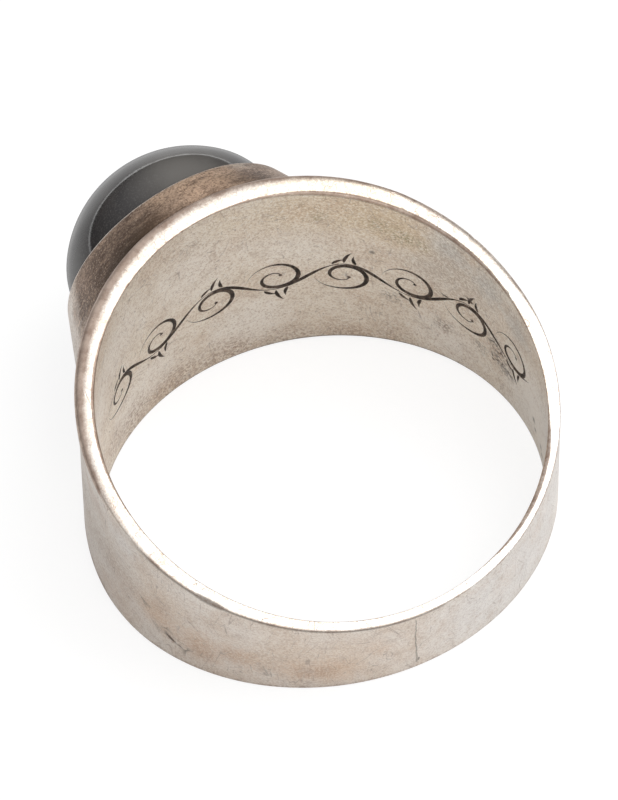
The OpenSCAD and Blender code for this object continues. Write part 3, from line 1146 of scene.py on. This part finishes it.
def stone_section():
    """Half of the section, from the top to the middle of the back: distance from the axis, and height."""
    points = []
    for t in np.linspace(quarter_turn, meet, 40)[1:]:
        points.append((crown_r * math.cos(t), crown_c + crown_r * math.sin(t)))
    for t in np.linspace(meet, 0, 60)[1:]:
        points.append((shoulder_c + shoulder_r * math.cos(t), shoulder_r * math.sin(t)))
    for height in np.linspace(0, back_bevel - back_depth, 6)[1:]:
        points.append((stone_r, height))
    points.append((stone_r - back_bevel / 2, back_bevel / 2 - back_depth))
    points.append((stone_r - back_bevel, -back_depth))
    points.append((stone_r / 2, -back_depth))
    return points


sides = 192
around = np.arange(sides) * 2 * math.pi / sides
gem = Metal()
top_point = gem.add([[lip_x + dome_h, 0, 0]])[0]
rings = [gem.add(round_stone_axis(lip_x + height, radius, around)) for radius, height in stone_section()]
back_point = gem.add([[lip_x - back_depth, 0, 0]])[0]
gem.skin(closed(np.stack(rings, 1)))
for a, b in zip(range(sides), [*range(1, sides), 0]):
    gem.faces.append((top_point, rings[0][a], rings[0][b]))
    gem.faces.append((back_point, rings[-1][a], rings[-1][b]))
    gem.engraved += [False, False]
gem_mesh = finished_mesh("stone", gem)
outward(gem_mesh)
gem_mesh.shade_smooth()
gem_mesh.set_sharp_from_angle(angle=sharp_angle)
gem_object = bpy.data.objects.new("domed_stone", gem_mesh)
bpy.context.scene.collection.objects.link(gem_object)


onyx_black = (0.022, 0.02, 0.021, 1)
onyx_grey = (0.037, 0.032, 0.03, 1)
onyx_speck = (0.10, 0.095, 0.09, 1)
# Paler patches in the stone near the collar's lip, a painted reflection of the collar: middle, in the
# ring's own frame and in millimetres, reach and tint
painted_reflections_in_stone = [
    ((12.8, -0.8, 4.9), 3.0, (0.095, 0.088, 0.08, 1)), ((12.6, 4.7, 1.5), 1.8, (0.08, 0.077, 0.074, 1)),
]


def onyx_look():
    material = bpy.data.materials.new("polished_onyx")
    material.use_nodes = True
    tree = material.node_tree
    shader = tree.nodes["Principled BSDF"]
    place = node(tree, "Attribute", attribute_name="ring_place").outputs["Vector"]
    cloudy = noise(tree, place, 0.45, 5.0)
    colour = blend(tree, ramp(tree, cloudy, 0.38, 0.62), onyx_black, onyx_grey)
    # Painted reflection: paler patches near the collar's lip
    for spot, reach, tint in painted_reflections_in_stone:
        given = {"Place": place, "Centre": spot, "Reach": reach, "Unevenness": cloudy, "Speckle": 0.0}
        colour = blend(tree, placed_group(tree, stain_and_light_patch, **given)["Mask"], colour, tint)
    speck = noise(tree, place, 14.0, 2.0, 0.5)
    colour = blend(tree, ramp(tree, speck, 0.5, 0.7, 0.0, 0.4), colour, onyx_speck)
    tree.links.new(colour, shader.inputs["Base Color"])
    fine = noise(tree, place, 9.0, 3.0)
    facing = node(tree, "LayerWeight", [("Blend", 0.5)]).outputs["Facing"]
    haze = ramp(tree, facing, 0.8, 0.98, 0.0, 0.35)
    roughness = maths(tree, "ADD", ramp(tree, fine, 0.3, 0.7, 0.045, 0.11), haze)
    tree.links.new(roughness, shader.inputs["Roughness"])
    shader.inputs["IOR"].default_value = 1.54
    bump = node(tree, "Bump", [("Height", fine), ("Strength", 0.1), ("Distance", 0.01 * MM)])
    tree.links.new(bump.outputs[0], shader.inputs["Normal"])
    return material


gem_mesh.materials.append(onyx_look())
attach(gem_object, "root")
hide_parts("stone")

# The setting for the picture: a plain pale floor, a large soft light overhead and a dim, plain room.
floor_half = 1.5
floor_corners = [(-floor_half, -floor_half, 0), (floor_half, -floor_half, 0)]
floor_corners += [(floor_half, floor_half, 0), (-floor_half, floor_half, 0)]
floor_mesh = bpy.data.meshes.new("floor")
floor_mesh.from_pydata(floor_corners, [], [(0, 1, 2, 3)])
floor = bpy.data.objects.new("floor", floor_mesh)
bpy.context.scene.collection.objects.link(floor)


paper_for_light = (0.7, 0.7, 0.7, 1)
paper_for_camera = (0.24, 0.24, 0.24, 1)
paper_glow = 0.79


def pale_paper():
    """Pale paper that looks whiter to the camera than to the ring."""
    material = bpy.data.materials.new("pale_paper")
    material.use_nodes = True
    tree = material.node_tree
    shader = tree.nodes["Principled BSDF"]
    seen = node(tree, "LightPath").outputs["Is Camera Ray"]
    tree.links.new(blend(tree, seen, paper_for_light, paper_for_camera), shader.inputs["Base Color"])
    shader.inputs["Roughness"].default_value = 0.9
    shader.inputs["Specular IOR Level"].default_value = 0.1
    shader.inputs["Emission Color"].default_value = (1, 1, 1, 1)
    tree.links.new(ramp(tree, seen, 0.0, 1.0, 0.0, paper_glow), shader.inputs["Emission Strength"])
    return material


floor_mesh.materials.append(pale_paper())

ring_middle = Vector((1.0, 0, 5.6)) * MM
camera_azimuth = math.radians(156.70)
camera_elevation = math.radians(48.26)
camera_roll = math.radians(-9.50)
camera_distance = 342.1 * MM
camera_aim = Vector((0.92, -0.56, 5.62)) * MM
focal_length = 363.8
sensor_height = 36.0


def direction(azimuth, elevation):
    """The unit vector towards an azimuth and an elevation."""
    level = math.cos(elevation)
    return Vector((math.cos(azimuth) * level, math.sin(azimuth) * level, math.sin(elevation)))


def look_at(thing, place, aim, roll=0.0):
    """Puts a camera or light at a place, turned so that it looks at the aim."""
    facing = (aim - place).to_track_quat("-Z", "Y").to_matrix().to_4x4()
    thing.matrix_world = Matrix.Translation(place) @ facing @ Matrix.Rotation(roll, 4, "Z")


lens = bpy.data.cameras.new("camera")
lens.sensor_fit = "VERTICAL"
lens.sensor_height = sensor_height
lens.lens = focal_length
lens.clip_start = 0.01
lens.clip_end = 10
camera = bpy.data.objects.new("camera", lens)
bpy.context.scene.collection.objects.link(camera)
camera_place = camera_aim + direction(camera_azimuth, camera_elevation) * camera_distance
look_at(camera, camera_place, camera_aim, camera_roll)
bpy.context.scene.camera = camera

softbox_azimuth = math.radians(-122.5)
softbox_elevation = math.radians(49)
softbox_distance = 0.5
softbox = bpy.data.lights.new("overhead_softbox", "AREA")
softbox.shape = "RECTANGLE"
softbox.size = 0.40
softbox.size_y = 0.53
softbox.energy = 1.56
softbox_object = bpy.data.objects.new("overhead_softbox", softbox)
bpy.context.scene.collection.objects.link(softbox_object)
softbox_place = ring_middle + direction(softbox_azimuth, softbox_elevation) * softbox_distance
look_at(softbox_object, softbox_place, ring_middle)

# The room's soft lights: azimuth and elevation in degrees, and strength
room_glows = ((0, 90, 0.6), (-113, 25, 0.29), (67, 25, 0.31), (157, 25, 1.43), (-23, 25, 0.73))


def room_light():
    """A plain room, dim near the floor and brightest behind the camera. A bright line is its horizon."""
    world = bpy.data.worlds.new("room")
    bpy.context.scene.world = world
    world.use_nodes = True
    tree = world.node_tree
    backdrop = tree.nodes["Background"]
    way = node(tree, "TexCoord").outputs["Generated"]
    total = None
    for azimuth, elevation, strength in room_glows:
        towards = tuple(direction(math.radians(azimuth), math.radians(elevation)))
        share = node(tree, "VectorMath", [(0, way), (1, towards)], operation="DOT_PRODUCT").outputs["Value"]
        spread = maths(tree, "POWER", maths(tree, "MAXIMUM", share, 0.0), 3.0)
        glow = maths(tree, "MULTIPLY", spread, strength)
        total = glow if total is None else maths(tree, "ADD", total, glow)
    height = maths(tree, "ABSOLUTE", node(tree, "SeparateXYZ", [(0, way)]).outputs["Z"])
    total = maths(tree, "MULTIPLY", total, ramp(tree, height, 0.03, 0.65, 0.28, 1.15))
    line = ramp(tree, height, 0.045, 0.035, 0.0, 2.0)
    total = maths(tree, "ADD", total, line)
    seen = node(tree, "LightPath").outputs["Is Camera Ray"]
    total = ramp(tree, seen, 0.0, 1.0, total, 0.97)
    tree.links.new(total, backdrop.inputs["Color"])


room_light()
bpy.context.scene.view_settings.view_transform = "Standard"
